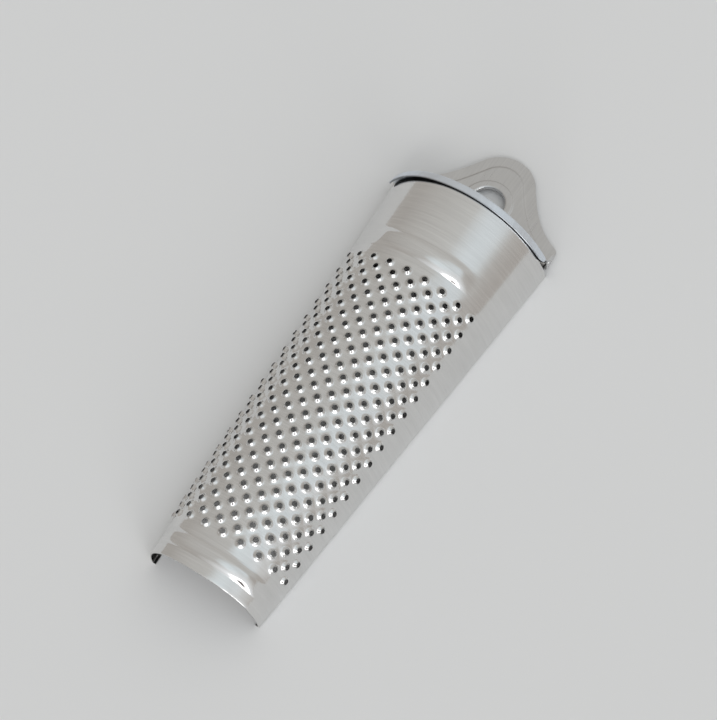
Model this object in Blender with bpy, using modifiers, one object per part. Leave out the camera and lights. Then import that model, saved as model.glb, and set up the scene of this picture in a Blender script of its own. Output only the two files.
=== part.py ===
"""Hand nutmeg grater: a tapered half-round grating sheet with a lidded nut box at its wide end.

The grater lies on its back. +Z rises out of the arch, +Y runs to the hanger and +X to the right. Heights
along the grater are measured from the rim, the narrow open end, by hanging every piece on one empty there.
Lengths are in metres.
"""
import math

import bmesh
import bpy
import numpy as np

# Sheet metal and the clearances between its pieces
SHEET = 0.0004
SEAT_GAP = 0.0003
PIN_GAP = 0.00012

# Arch of the body, measured on its outer face at the rim and at the mouth of the nut box
MOUTH_Y = 0.0987
RIM_HALF_WIDTH = 0.0135
RIM_HEIGHT = 0.0126
RIM_FULLNESS = 2.4
MOUTH_HALF_WIDTH = 0.0205
MOUTH_HEIGHT = 0.0177
MOUTH_FULLNESS = 2.0
MOUTH_CENTRE_DEPTH = 0.0049

# Folded side edges
HEM_RADIUS = 0.0006
HEM_FLANGE = 0.0005

# Beads pressed across the arch, which fade out down its flanks: the box reaches to the upper one's crest
BEAD_RISE = 0.0007
BEAD_FULL_ARC = 0.0085
BEAD_FADED_ARC = 0.0138
BOX_DEPTH = 0.0164
UPPER_BEAD_CLIMB = 0.002
UPPER_BEAD_FALL = 0.0028
LOWER_BEAD_Y = 0.0043
LOWER_BEAD_CLIMB = 0.0019
LOWER_BEAD_FALL = 0.0017

# Teeth, punched outwards in staggered rows, and the plain sheet left round their field
PITCH_ACROSS = 0.002137
PITCH_ALONG = 0.002092
FIELD_HEAD_GAP = 0.00302
FIELD_FOOT_GAP = 0.0033
FIELD_SIDE_GAP = 0.0012
TOOTH_HOLE_RADIUS = 0.0006
TOOTH_RISE = 0.0007
TOOTH_TEAR = 0.00018

# Cut-back corners at the mouth, which leave room for the hinge
CORNER_DEPTH = 0.001
CORNER_FOOT_Z = 0.006
CORNER_HEAD_Z = 0.0095

# Ears that carry the hinge
EAR_INSET = 0.0008
EAR_LENGTH = 0.0029
EAR_WALL_OVER_PIN = 0.0005
EAR_BEND_RADIUS = 0.0007

# Back plate and hanger
HANGER_RISE = 0.02065
HANGER_TOP_RADIUS = 0.00805
HANGER_TOP_ANGLE = math.radians(35)
SHOULDER_INSET = 0.0011
SHOULDER_WALL = 0.00064
SHOULDER_RADIUS = 0.0013
SHOULDER_SLOPE = math.radians(24)
NOTCH_WIDTH = 0.00045
NOTCH_DEPTH = 0.0006
EMBOSS_INSET = 0.0027
EMBOSS_RISE = 0.0003
EMBOSS_FOOT_GAP = 0.00085
HOLE_RADIUS = 0.0039
HOLE_RISE = 0.0078
COLLAR_WIDTH = 0.00175
COLLAR_RISE = 0.0006

# Hinge
PIN_RADIUS = 0.0005
KNUCKLE_END_GAP = 0.0028
KNUCKLE_TURN = math.radians(290)

# Lid
LID_SKIRT_DEPTH = 0.00175
LID_SIDE_CLEARANCE = 0.0003
SKIRT_EAR_GAP = 0.00116
SKIRT_END_ROUND = 0.0022

# Worked out from the sizes above
UPPER_BEAD_Y = MOUTH_Y - BOX_DEPTH
UPPER_BEAD = (UPPER_BEAD_Y + UPPER_BEAD_CLIMB, UPPER_BEAD_Y, UPPER_BEAD_Y - UPPER_BEAD_FALL)
LOWER_BEAD = (LOWER_BEAD_Y + LOWER_BEAD_CLIMB, LOWER_BEAD_Y, LOWER_BEAD_Y - LOWER_BEAD_FALL)
FIRST_ROW_Y = UPPER_BEAD[2] - FIELD_HEAD_GAP
PLATE_BACK_Z = SHEET + SEAT_GAP
PLATE_FRONT_Z = PLATE_BACK_Z + SHEET
PLATE_FOOT_Y = UPPER_BEAD[2] + SEAT_GAP
LID_BACK_Y = MOUTH_Y + SEAT_GAP
LID_FRONT_Y = LID_BACK_Y + SHEET
KNUCKLE_INNER = PIN_RADIUS + PIN_GAP
KNUCKLE_OUTER = KNUCKLE_INNER + SHEET
HINGE_Y = LID_BACK_Y + KNUCKLE_OUTER
HINGE_Z = PLATE_FRONT_Z + SEAT_GAP + KNUCKLE_OUTER
EAR_OUTER_X = MOUTH_HALF_WIDTH - EAR_INSET
EAR_FOOT_Y = LID_BACK_Y
EAR_HEAD_Y = EAR_FOOT_Y + EAR_LENGTH
EAR_TOP_Z = HINGE_Z + KNUCKLE_INNER + EAR_WALL_OVER_PIN
EAR_SINK = SHEET / 8
KNUCKLE_HALF_LENGTH = EAR_OUTER_X - SHEET - KNUCKLE_END_GAP
SKIRT_END_Z = EAR_TOP_Z + SKIRT_EAR_GAP
SHOULDER_X = MOUTH_HALF_WIDTH - SHOULDER_INSET
SHOULDER_Y = EAR_HEAD_Y + NOTCH_WIDTH + SHOULDER_WALL
HANGER_TOP_Y = MOUTH_Y + HANGER_RISE
EMBOSS_FOOT_Y = EAR_HEAD_Y + NOTCH_WIDTH + EMBOSS_FOOT_GAP
HOLE_Y = MOUTH_Y + HOLE_RISE
COLLAR_RADIUS = HOLE_RADIUS + COLLAR_WIDTH
OVERRUN = 0.001

# EXACT leaves open edges where sheets of one thickness meet face to face
SOLVER = "MANIFOLD"

# Facet counts and the share of a quarter turn or run that each facet takes
ARCH_SAMPLES = 241
MARGIN_SHARES = (0.34, 0.67, 1.0)
BEND_SHARES = (1 / 3, 2 / 3, 1.0)
BEAD_RISE_SHARES = (0.0, 0.5, 1.0)
BEAD_FALL_SHARES = (0.3, 0.65, 1.0)
HANGER_HANDLE_SHARES = (0.31, 0.43)
LIP_POINTS = 6
ARC_STEPS = 6
RING_STEPS = 32
LID_STEPS = 28


def section(y, outward=0.0):
    """Half section of the arch at height y, from the crown to the base, grown outward evenly or by samples.

    A superellipse whose centre sinks below the base plane towards the mouth, so that its sides lean in.
    Returns x, z and the arc length from the crown.
    """
    share = y / MOUTH_Y
    width = RIM_HALF_WIDTH + (MOUTH_HALF_WIDTH - RIM_HALF_WIDTH) * share
    height = RIM_HEIGHT + (MOUTH_HEIGHT - RIM_HEIGHT) * share
    fullness = RIM_FULLNESS + (MOUTH_FULLNESS - RIM_FULLNESS) * share
    depth = MOUTH_CENTRE_DEPTH * share
    rise = height + depth
    reach = width / (1 - (depth / rise) ** fullness) ** (1 / fullness)
    foot = math.asin(((depth + HEM_RADIUS) / rise) ** (fullness / 2))
    angle = np.linspace(math.pi / 2, foot, ARCH_SAMPLES)
    x = reach * np.cos(angle) ** (2 / fullness)
    z = rise * np.sin(angle) ** (2 / fullness) - depth
    along_x, along_z = np.gradient(x), np.gradient(z)
    length = np.hypot(along_x, along_z)
    x, z = x - outward * along_z / length, z + outward * along_x / length
    x[0] = 0.0
    run = np.concatenate([[0.0], np.cumsum(np.hypot(np.diff(x), np.diff(z)))])
    return x, z, run


def eased(share):
    """A share held between 0 and 1, with a soft start and a soft end."""
    share = np.clip(share, 0.0, 1.0)
    return share * share * (3 - 2 * share)


def bead(arc, y):
    """How far a bead lifts the sheet: a soft climb to the crest and a fall, fading out down the flanks."""
    fade = eased((BEAD_FADED_ARC - abs(arc)) / (BEAD_FADED_ARC - BEAD_FULL_ARC))
    for start, crest, end in (UPPER_BEAD, LOWER_BEAD):
        if crest <= y <= start:
            climb = (start - y) / (start - crest)
        elif end <= y <= crest:
            climb = (y - end) / (crest - end)
        else:
            continue
        return BEAD_RISE * fade * (1 - math.cos(math.pi * climb)) / 2
    return 0.0


class Sheet:
    """Collects the points and faces of the body's outer face, each point made once under its own key."""

    def __init__(self):
        self.points, self.faces, self.known, self.sections = [], [], {}, {}
        self.rows, self.columns = count_rows(), count_columns()

    def on_arch(self, arc, y, rise=0.0):
        """The place at a signed arc length from the crown and height y, lifted off the face by rise."""
        if y not in self.sections:
            self.sections[y] = section(y)
        x, z, run = self.sections[y]
        side = math.copysign(1.0, arc)
        near, far = np.interp(abs(arc), run, x), np.interp(abs(arc), run, z)
        slope_x, slope_z = np.gradient(x, run), np.gradient(z, run)
        turn_x, turn_z = np.interp(abs(arc), run, slope_x), np.interp(abs(arc), run, slope_z)
        scale = rise / math.hypot(turn_x, turn_z)
        return side * (near - scale * turn_z), y, far + scale * turn_x

    def on_hem(self, side, share, y):
        """The place on the folded edge: round the bend for shares up to 1, and at the flange's tip for 2."""
        x, z, _ = section(y)
        if share > 1:
            return side * (x[-1] - HEM_RADIUS - HEM_FLANGE), y, 0.0
        turn = share * math.pi / 2
        inward, down = HEM_RADIUS * (1 - math.cos(turn)), HEM_RADIUS * math.sin(turn)
        return side * (x[-1] - inward), y, z[-1] - down

    def vertex(self, key, place):
        if key not in self.known:
            self.known[key] = len(self.points)
            self.points.append(place())
        return self.known[key]

    def face(self, *corners):
        self.faces.append(corners)


def count_columns():
    """Columns of teeth on each side of the crown, an even number, that fit the arch at the rim."""
    reach = section(0.0)[2][-1] - FIELD_SIDE_GAP - PITCH_ACROSS
    return 2 * int(reach / (2 * PITCH_ACROSS))


def column_place(sheet, column, y):
    """Columns run from -C to C across the teeth, and on past C over the margin, the bend and the flange."""
    side = math.copysign(1.0, column)
    edge = sheet.columns + 1
    beyond = abs(column) - edge
    if beyond <= 0:
        return sheet.on_arch(column * PITCH_ACROSS, y, bead(column * PITCH_ACROSS, y))
    if beyond <= len(MARGIN_SHARES):
        start, end = edge * PITCH_ACROSS, section(y)[2][-1]
        arc = start + (end - start) * MARGIN_SHARES[beyond - 1]
        return sheet.on_arch(side * arc, y, bead(arc, y))
    beyond -= len(MARGIN_SHARES)
    share = BEND_SHARES[beyond - 1] if beyond <= len(BEND_SHARES) else 2
    return sheet.on_hem(side, share, y)


def count_rows():
    """Rows of teeth, an odd number, that fit between the two beads."""
    run = FIRST_ROW_Y - LOWER_BEAD[0] - FIELD_FOOT_GAP
    return 2 * int(run / (2 * PITCH_ALONG)) + 1


def mouth_y(z):
    """Height of the body's top edge where the sheet stands at z: lower at the corners."""
    return MOUTH_Y - CORNER_DEPTH * eased((CORNER_HEAD_Z - z) / (CORNER_HEAD_Z - CORNER_FOOT_Z))


def body_faces():
    """The open outer face of the body: plain bands with beads at both ends, and the toothed field between."""
    sheet = Sheet()
    edge = sheet.columns + 1
    last = edge + len(MARGIN_SHARES) + len(BEND_SHARES) + 1
    lattice_y = {row: FIRST_ROW_Y - row * PITCH_ALONG for row in range(-1, sheet.rows + 1)}

    def point(column, row):
        y = lattice_y.get(row, row) if isinstance(row, int) else row

        def place():
            if y < MOUTH_Y:
                return column_place(sheet, column, y)
            return column_place(sheet, column, mouth_y(column_place(sheet, column, y)[2]))

        return sheet.vertex((column, y), place)

    def bead_rows(start, crest, end):
        rows = [start - (start - crest) * share for share in BEAD_RISE_SHARES]
        return rows + [crest - (crest - end) * share for share in BEAD_FALL_SHARES]

    above = [MOUTH_Y] + bead_rows(*UPPER_BEAD) + [-1]
    below = [sheet.rows] + bead_rows(*LOWER_BEAD) + [0.0]

    def panel(left, upper, lower):
        feet = point(left, lower), point(left + 1, lower)
        sheet.face(*feet, point(left + 1, upper), point(left, upper))

    for rows in (above, below):
        for upper, lower in zip(rows, rows[1:]):
            for left in range(-last, last):
                panel(left, upper, lower)

    # Beside the teeth a row of the plain margin spans two rows of cells, with a triangle to the odd one
    side_rows = [-1] + list(range(0, sheet.rows, 2)) + [sheet.rows]
    for upper, lower in zip(side_rows, side_rows[1:]):
        for left in list(range(-last, -edge)) + list(range(edge, last)):
            panel(left, upper, lower)
        odd = upper if upper % 2 else upper + 1
        sheet.face(point(edge - 1, odd), point(edge, lower), point(edge, upper))
        sheet.face(point(1 - edge, odd), point(-edge, upper), point(-edge, lower))

    for column in range(1 - sheet.columns, sheet.columns, 2):
        for row, step in ((-1, -1), (sheet.rows, 1)):
            tip = point(column, row - step)
            for near, far in ((column - 1, column), (column, column + 1)):
                corners = (tip, point(near, row), point(far, row))
                sheet.face(*(corners if step > 0 else corners[::-1]))

    for row in range(sheet.rows):
        for column in range(-sheet.columns, sheet.columns + 1):
            if (column + row) % 2 == 0:
                beside = point(column + 1, row), point(column - 1, row)
                above_below = point(column, row - 1), point(column, row + 1)
                corners = beside[0], above_below[0], beside[1], above_below[1]
                add_tooth(sheet, column * PITCH_ACROSS, lattice_y[row], corners)
    return sheet


def add_tooth(sheet, arc, y, corners):
    """One tooth: the sheet drawn up from its cell's four corners to the torn lip of a small hole."""
    lip = []
    for step in range(LIP_POINTS):
        turn = step * math.tau / LIP_POINTS
        place = arc + TOOTH_HOLE_RADIUS * math.cos(turn), y + TOOTH_HOLE_RADIUS * math.sin(turn)
        rise = TOOTH_RISE - TOOTH_TEAR * (step % 2)
        lip.append(sheet.vertex((arc, y, step), lambda: sheet.on_arch(*place, rise)))
    right, up, left, down = corners
    for outer, inner in (((right, up), 1), ((up, left), 2), ((left, down), 4), ((down, right), 5)):
        sheet.face(*outer, lip[inner])
    for outer, inner in ((right, 0), (right, 5), (up, 1), (left, 2), (left, 3), (down, 4)):
        sheet.face(outer, lip[(inner + 1) % LIP_POINTS], lip[inner])


def steel(name, shade, roughness):
    """Brushed stainless steel as a plain Principled material."""
    material = bpy.data.materials.new(name)
    material.use_nodes = True
    shader = material.node_tree.nodes["Principled BSDF"]
    shader.inputs["Base Color"].default_value = (*shade, 1.0)
    shader.inputs["Metallic"].default_value = 1.0
    shader.inputs["Roughness"].default_value = roughness
    material.diffuse_color = (*shade, 1.0)
    return material


def add_object(name, mesh, collection, parent, material):
    """Puts a mesh in the scene under its parent, smooth but for its sharp edges."""
    obj = bpy.data.objects.new(name, mesh)
    collection.objects.link(obj)
    obj.parent = parent
    if material:
        mesh.materials.clear()
        mesh.materials.append(material)
        mesh.shade_smooth()
        mesh.set_sharp_from_angle(angle=math.radians(30))
    return obj


def mesh_from(name, points, faces):
    mesh = bpy.data.meshes.new(name)
    mesh.from_pydata([tuple(map(float, p)) for p in points], [], faces)
    mesh.update()
    return mesh


def add_modifier(obj, name, kind, **values):
    modifier = obj.modifiers.new(name, kind)
    for key, value in values.items():
        setattr(modifier, key, value)
    return modifier


def cutter(name, mesh, collection, parent):
    """A helper for a Boolean, kept out of the render."""
    obj = add_object(name, mesh, collection, parent, None)
    obj.hide_render = True
    obj.display_type = "WIRE"
    return obj


def extruded(name, outline, low, high, axis):
    """A closed outline of two coordinates, filled and drawn out along the third axis from low to high."""
    curve = bpy.data.curves.new(name, "CURVE")
    curve.dimensions = "2D"
    curve.fill_mode = "BOTH"
    curve.extrude = (high - low) / 2
    spline = curve.splines.new("POLY")
    spline.points.add(len(outline) - 1)
    for point, (a, b) in zip(spline.points, outline):
        point.co = (a, b, 0.0, 1.0)
    spline.use_cyclic_u = True
    holder = bpy.data.objects.new(name, curve)
    bpy.context.scene.collection.objects.link(holder)
    graph = bpy.context.evaluated_depsgraph_get()
    mesh = bpy.data.meshes.new_from_object(holder.evaluated_get(graph))
    bpy.data.objects.remove(holder)
    bpy.data.curves.remove(curve)
    middle = (high + low) / 2
    shape = bmesh.new()
    shape.from_mesh(mesh)
    bmesh.ops.remove_doubles(shape, verts=shape.verts, dist=SHEET / 100)
    for vertex in shape.verts:
        a, b, c = vertex.co
        vertex.co = {"Z": (a, b, c + middle), "Y": (a, middle - c, b), "X": (c + middle, a, b)}[axis]
    bmesh.ops.recalc_face_normals(shape, faces=shape.faces)
    shape.to_mesh(mesh)
    shape.free()
    mesh.name = name
    return mesh


def cylinder(name, radius, low, high, centre, axis, steps):
    """A round bar between low and high along X, or along Z, through centre."""
    shape = bmesh.new()
    bmesh.ops.create_cone(
        shape, cap_ends=True, segments=steps, radius1=radius, radius2=radius, depth=high - low
    )
    middle = (high + low) / 2
    for vertex in shape.verts:
        a, b, c = vertex.co
        if axis == "X":
            vertex.co = (c + middle, centre[0] + a, centre[1] + b)
        else:
            vertex.co = (centre[0] + a, centre[1] + b, c + middle)
    bmesh.ops.recalc_face_normals(shape, faces=shape.faces)
    mesh = bpy.data.meshes.new(name)
    shape.to_mesh(mesh)
    shape.free()
    return mesh


def arc(centre, radius, start, end, steps):
    """Points on an arc from one angle to another, both ends included."""
    angles = [start + (end - start) * step / steps for step in range(steps + 1)]
    return [(centre[0] + radius * math.cos(a), centre[1] + radius * math.sin(a)) for a in angles]


def bezier(start, start_heading, end, end_heading, shares, steps):
    """Points of a cubic Bezier curve, with handles along the two headings, as long as shares of the chord."""
    start, end = np.array(start), np.array(end)
    chord = np.linalg.norm(end - start)
    leave = start + shares[0] * chord * np.array((math.cos(start_heading), math.sin(start_heading)))
    arrive = end - shares[1] * chord * np.array((math.cos(end_heading), math.sin(end_heading)))
    t = np.linspace(0, 1, steps + 1)[:, None]
    return (1 - t) ** 3 * start + 3 * (1 - t) ** 2 * t * leave + 3 * (1 - t) * t**2 * arrive + t**3 * end


def hanger_side(inset):
    """Right side of the hanger: a round top, a hollow flank and a round shoulder, inset in parallel."""
    top_centre = (0.0, HANGER_TOP_Y - HANGER_TOP_RADIUS)
    top = arc(top_centre, HANGER_TOP_RADIUS, math.pi / 2, HANGER_TOP_ANGLE, 2 * ARC_STEPS)
    shoulder_centre = (SHOULDER_X - SHOULDER_RADIUS, SHOULDER_Y)
    shoulder = arc(shoulder_centre, SHOULDER_RADIUS, math.pi / 2 - SHOULDER_SLOPE, 0.0, ARC_STEPS)
    headings = HANGER_TOP_ANGLE - math.pi / 2, -SHOULDER_SLOPE
    flank = bezier(top[-1], headings[0], shoulder[0], headings[1], HANGER_HANDLE_SHARES, 2 * ARC_STEPS)
    side = np.array(top + [tuple(place) for place in flank[1:-1]] + shoulder)
    along = np.gradient(side, axis=0)
    along[0] = (1.0, 0.0)
    inward = np.column_stack((along[:, 1], -along[:, 0])) / np.linalg.norm(along, axis=1)[:, None]
    return [tuple(place) for place in side + inset * inward]


def plate_half_width(y):
    """Half width of the plate where it lies between the body's walls."""
    return section(min(y, MOUTH_Y))[0][-1] - SHEET - SEAT_GAP


def plate_outline():
    """Outline of the back plate: hanger, shoulders, relief notches, ears' feet and the part in the box."""
    side = hanger_side(0.0)
    inner = SHOULDER_X - NOTCH_DEPTH
    leaf = EAR_OUTER_X - EAR_BEND_RADIUS - EAR_SINK
    leaf_head, leaf_foot = EAR_HEAD_Y - EAR_SINK, EAR_FOOT_Y + EAR_SINK
    notch_y = EAR_HEAD_Y + NOTCH_WIDTH
    side += [(SHOULDER_X, notch_y), (inner, notch_y), (inner, leaf_head)]
    side += [(leaf, leaf_head), (leaf, leaf_foot)]
    side += [(inner, leaf_foot), (inner, EAR_FOOT_Y - NOTCH_WIDTH)]
    side += [(plate_half_width(MOUTH_Y - CORNER_DEPTH), MOUTH_Y - CORNER_DEPTH)]
    side += [(plate_half_width(PLATE_FOOT_Y), PLATE_FOOT_Y)]
    return side + [(-x, y) for x, y in side[:0:-1]]


def emboss_outline(inset):
    """Outline of the hanger's raised field, which runs parallel to the hanger's edge."""
    side = [(x, y) for x, y in hanger_side(inset) if y > EMBOSS_FOOT_Y]
    side.append((side[-1][0], EMBOSS_FOOT_Y))
    return side + [(-x, y) for x, y in side[:0:-1]]


def ear_profile(side):
    """Section of an ear: a leg that thins out inside the plate, a bend and the upright wall."""
    outer = (EAR_OUTER_X - EAR_BEND_RADIUS, PLATE_BACK_Z + EAR_BEND_RADIUS)
    bend = arc(outer, EAR_BEND_RADIUS, -math.pi / 2, 0.0, ARC_STEPS)
    inside = arc(outer, EAR_BEND_RADIUS - SHEET, 0.0, -math.pi / 2, ARC_STEPS)
    foot = EAR_OUTER_X - 2 * EAR_BEND_RADIUS
    points = [(foot, PLATE_BACK_Z + SHEET / 4)] + bend
    points += [(EAR_OUTER_X, EAR_TOP_Z), (EAR_OUTER_X - SHEET, EAR_TOP_Z)]
    points += inside + [(foot, PLATE_FRONT_Z - SHEET / 4)]
    return [(side * x, z) for x, z in points]


def collar_mesh():
    """The rolled collar round the hanging hole: a low half-round ring turned about the hole's axis."""
    half_width = COLLAR_WIDTH / 2
    middle = HOLE_RADIUS + half_width
    inner = HOLE_RADIUS - SHEET
    foot = PLATE_BACK_Z + SHEET / 2
    profile = [(inner, PLATE_FRONT_Z), (inner, foot), (COLLAR_RADIUS, foot)]
    for step in range(ARC_STEPS + 1):
        turn = math.pi * step / ARC_STEPS
        profile.append((middle + half_width * math.cos(turn), PLATE_FRONT_Z + COLLAR_RISE * math.sin(turn)))
    points, faces = [], []
    for ring in range(RING_STEPS):
        turn = math.tau * ring / RING_STEPS
        points += [(r * math.cos(turn), HOLE_Y + r * math.sin(turn), z) for r, z in profile]
        for index in range(len(profile)):
            after = (index + 1) % len(profile)
            here, there = ring * len(profile), (ring + 1) % RING_STEPS * len(profile)
            faces.append((here + index, there + index, there + after, here + after))
    mesh = mesh_from("collar", points, faces)
    shape = bmesh.new()
    shape.from_mesh(mesh)
    bmesh.ops.recalc_face_normals(shape, faces=shape.faces)
    shape.to_mesh(mesh)
    shape.free()
    return mesh


def half_moon(y, outward, foot):
    """Outline of the arch's section at height y, moved outward and closed by a straight edge at foot."""
    x, z, run = section(y, outward)
    keep = np.interp(np.linspace(0, run[-1], LID_STEPS // 2 + 1), run, np.arange(len(run)))
    right = [(np.interp(k, np.arange(len(x)), x), np.interp(k, np.arange(len(z)), z)) for k in keep]
    right = [(a, b) for a, b in right if b > foot + HEM_RADIUS]
    right.append((right[-1][0], foot))
    return [(-a, b) for a, b in right[:0:-1]] + right


def lid_mesh():
    """The lid's outer face: a half-moon top, stepped in between the ears, with a flange round its arch."""
    half_width = EAR_OUTER_X - SHEET - SEAT_GAP
    foot = HINGE_Z + PIN_RADIUS
    outline = [(-half_width, foot), (-half_width, SKIRT_END_Z)]
    outline += half_moon(MOUTH_Y, LID_SIDE_CLEARANCE + SHEET, SKIRT_END_Z)
    outline += [(half_width, SKIRT_END_Z), (half_width, foot)]
    skirt = range(2, len(outline) - 2)
    points = [(x, LID_FRONT_Y, z) for x, z in outline]
    faces = [tuple(range(len(outline)))]
    loops = {}
    for i in skirt:
        x, z = outline[i]
        share = min((z - SKIRT_END_Z) / SKIRT_END_ROUND, 1.0)
        depth = 2 * SHEET + (LID_SKIRT_DEPTH - 2 * SHEET) * math.sqrt(1 - (1 - share) ** 2)
        loops[i] = len(points)
        points.append((x, LID_FRONT_Y - depth, z))
    for a, b in zip(skirt, skirt[1:]):
        faces.append((b, a, loops[a], loops[b]))
    return mesh_from("lid", points, faces)


def knuckle_outline():
    """Section of the lid's rolled edge: a leg in the lid's sheet, then round the pin almost to the lid."""
    start = math.pi
    end = start + KNUCKLE_TURN
    steps = 3 * ARC_STEPS
    leg = HINGE_Z + KNUCKLE_OUTER
    centre = (HINGE_Y, HINGE_Z)
    outer = arc(centre, KNUCKLE_OUTER, start, end, steps)
    inner = arc(centre, KNUCKLE_INNER, end, start, steps)
    return [(LID_BACK_Y, leg)] + outer + inner + [(LID_BACK_Y + SHEET, leg)]


def make_body(parts, rim):
    sheet = body_faces()
    mesh = mesh_from("grater_body", sheet.points, sheet.faces)
    body = add_object("grater_body", mesh, parts, rim, steel("brushed sheet", (0.73, 0.72, 0.70), 0.32))
    add_modifier(body, "sheet", "SOLIDIFY", thickness=SHEET, offset=-1.0)
    return body


def make_back_plate(parts, cutters, rim):
    mesh = extruded("back_plate", plate_outline(), PLATE_BACK_Z, PLATE_FRONT_Z, "Z")
    plate = add_object("back_plate", mesh, parts, rim, steel("hanger sheet", (0.71, 0.70, 0.68), 0.35))
    foot, head = PLATE_BACK_Z + SHEET / 2, PLATE_FRONT_Z + EMBOSS_RISE
    field = extruded("raised_field", emboss_outline(EMBOSS_INSET), foot, head, "Z")
    pieces = [cutter("raised_field", field, cutters, rim), cutter("hole_collar", collar_mesh(), cutters, rim)]
    for side, name in ((-1, "left_ear"), (1, "right_ear")):
        ear = extruded(name, ear_profile(side), EAR_FOOT_Y, EAR_HEAD_Y, "Y")
        pieces.append(cutter(name, ear, cutters, rim))
    for piece in pieces:
        add_modifier(plate, piece.name, "BOOLEAN", object=piece, operation="UNION", solver=SOLVER)
    foot, head = PLATE_BACK_Z - OVERRUN, PLATE_BACK_Z + EMBOSS_RISE
    back = extruded("field_back", emboss_outline(EMBOSS_INSET + SHEET), foot, head, "Z")
    hole = cylinder("hanging_hole", HOLE_RADIUS, 0.0, HINGE_Z, (0.0, HOLE_Y), "Z", RING_STEPS)
    reach = EAR_OUTER_X + OVERRUN
    bore = cylinder("pin_holes", KNUCKLE_INNER, -reach, reach, (HINGE_Y, HINGE_Z), "X", 2 * ARC_STEPS)
    for shape in (back, hole, bore):
        piece = cutter(shape.name, shape, cutters, rim)
        add_modifier(plate, shape.name, "BOOLEAN", object=piece, operation="DIFFERENCE", solver=SOLVER)
    return plate


def make_floor(parts, rim):
    """The box's floor reaches into the groove behind the bead, and stays a seat gap short of the sheet."""
    lift = bead(section(UPPER_BEAD_Y)[2], UPPER_BEAD_Y)
    outline = half_moon(UPPER_BEAD_Y, lift - SHEET - SEAT_GAP, PLATE_FRONT_Z + SEAT_GAP)
    mesh = extruded("compartment_floor", outline, UPPER_BEAD_Y - SHEET / 2, UPPER_BEAD_Y + SHEET / 2, "Y")
    return add_object("compartment_floor", mesh, parts, rim, steel("floor sheet", (0.70, 0.69, 0.67), 0.38))


def make_lid(parts, cutters, hinge, rim):
    """The lid turns about its empty on the hinge line, so its mesh is shifted back by the empty's place."""
    mesh = lid_mesh()
    lid = add_object("lid", mesh, parts, hinge, steel("lid sheet", (0.72, 0.72, 0.73), 0.30))
    add_modifier(lid, "sheet", "SOLIDIFY", thickness=SHEET, offset=-1.0)
    knuckle = extruded("knuckle", knuckle_outline(), -KNUCKLE_HALF_LENGTH, KNUCKLE_HALF_LENGTH, "X")
    for shape in (mesh, knuckle):
        shape.transform(hinge.matrix_local.inverted())
    roll = cutter("knuckle", knuckle, cutters, hinge)
    add_modifier(lid, "knuckle", "BOOLEAN", object=roll, operation="UNION", solver=SOLVER)
    return lid


def make_pin(parts, rim):
    centre = (HINGE_Y, HINGE_Z)
    mesh = cylinder("hinge_pin", PIN_RADIUS, -EAR_OUTER_X, EAR_OUTER_X, centre, "X", 2 * ARC_STEPS)
    return add_object("hinge_pin", mesh, parts, rim, steel("pin wire", (0.66, 0.66, 0.67), 0.28))


def empty(name, place, parent, collection):
    obj = bpy.data.objects.new(name, None)
    obj.location = place
    obj.parent = parent
    collection.objects.link(obj)
    return obj


def main():
    for obj in list(bpy.data.objects):
        bpy.data.objects.remove(obj)
    parts = bpy.data.collections.new("nutmeg_grater")
    cutters = bpy.data.collections.new("cutters")
    for collection in (parts, cutters):
        bpy.context.scene.collection.children.link(collection)
    rim = empty("rim_centre", (0.0, -HANGER_TOP_Y / 2, 0.0), None, parts)
    hinge = empty("lid_hinge", (0.0, HINGE_Y, HINGE_Z), rim, parts)
    bpy.context.view_layer.update()
    make_body(parts, rim)
    make_back_plate(parts, cutters, rim)
    make_floor(parts, rim)
    make_lid(parts, cutters, hinge, rim)
    make_pin(parts, rim)


main()
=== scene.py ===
"""Nutmeg grater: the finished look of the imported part, seen from the photograph's angle.

Lengths are in metres. The grater lies on its back, +Z out of the arch and +Y towards the hanger.
Heights along the grater are measured from its rim, the narrow open end, as the construction
measures them.
"""
import math

import bpy
import numpy as np
from mathutils import Matrix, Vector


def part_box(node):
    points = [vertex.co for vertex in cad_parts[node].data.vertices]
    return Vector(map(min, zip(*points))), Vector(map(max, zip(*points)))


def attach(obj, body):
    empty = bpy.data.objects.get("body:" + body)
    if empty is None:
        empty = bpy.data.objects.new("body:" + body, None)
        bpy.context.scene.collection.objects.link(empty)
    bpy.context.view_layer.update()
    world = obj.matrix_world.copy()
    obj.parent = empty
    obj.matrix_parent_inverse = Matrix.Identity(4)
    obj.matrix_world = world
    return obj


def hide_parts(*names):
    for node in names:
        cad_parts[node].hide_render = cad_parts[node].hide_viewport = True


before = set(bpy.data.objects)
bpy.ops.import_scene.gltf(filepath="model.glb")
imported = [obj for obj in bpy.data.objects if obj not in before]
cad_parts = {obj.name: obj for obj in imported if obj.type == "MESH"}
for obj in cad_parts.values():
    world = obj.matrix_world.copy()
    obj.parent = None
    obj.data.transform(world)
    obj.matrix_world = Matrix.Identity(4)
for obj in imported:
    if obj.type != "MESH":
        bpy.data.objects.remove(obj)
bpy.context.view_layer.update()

RIM_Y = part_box("grater_body")[0].y

# Sheet metal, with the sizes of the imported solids. An arch is its half width, its height, its
# fullness and how far its centre is sunk
SHEET = 0.0004
SEAT_GAP = 0.0003
MOUTH_Y = 0.0987
RIM_ARCH = (0.0135, 0.0126, 2.4, 0.0)
MOUTH_ARCH = (0.0205, 0.0177, 2.0, 0.0049)
HEM_RADIUS = 0.0006
HEM_FLANGE = 0.0005
HEM_STEPS = 7

# Points in the table of arch sections: along the grater, round the arch, and round it while its
# length is measured. A normal is taken from the points a span to either side
TABLE_Y = 160
TABLE_ARC = 500
TABLE_FINE_ARC = 2000
NORMAL_SPAN = 2

# The rim's rolled edge, and the rows of points from the lower bead down to it
EDGE_ROLL = 0.00016
RIM_LEVELS = (0.0018, 0.0009, 0.00016, 0.00010, 0.00005, 0.00002, 0.0)

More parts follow.
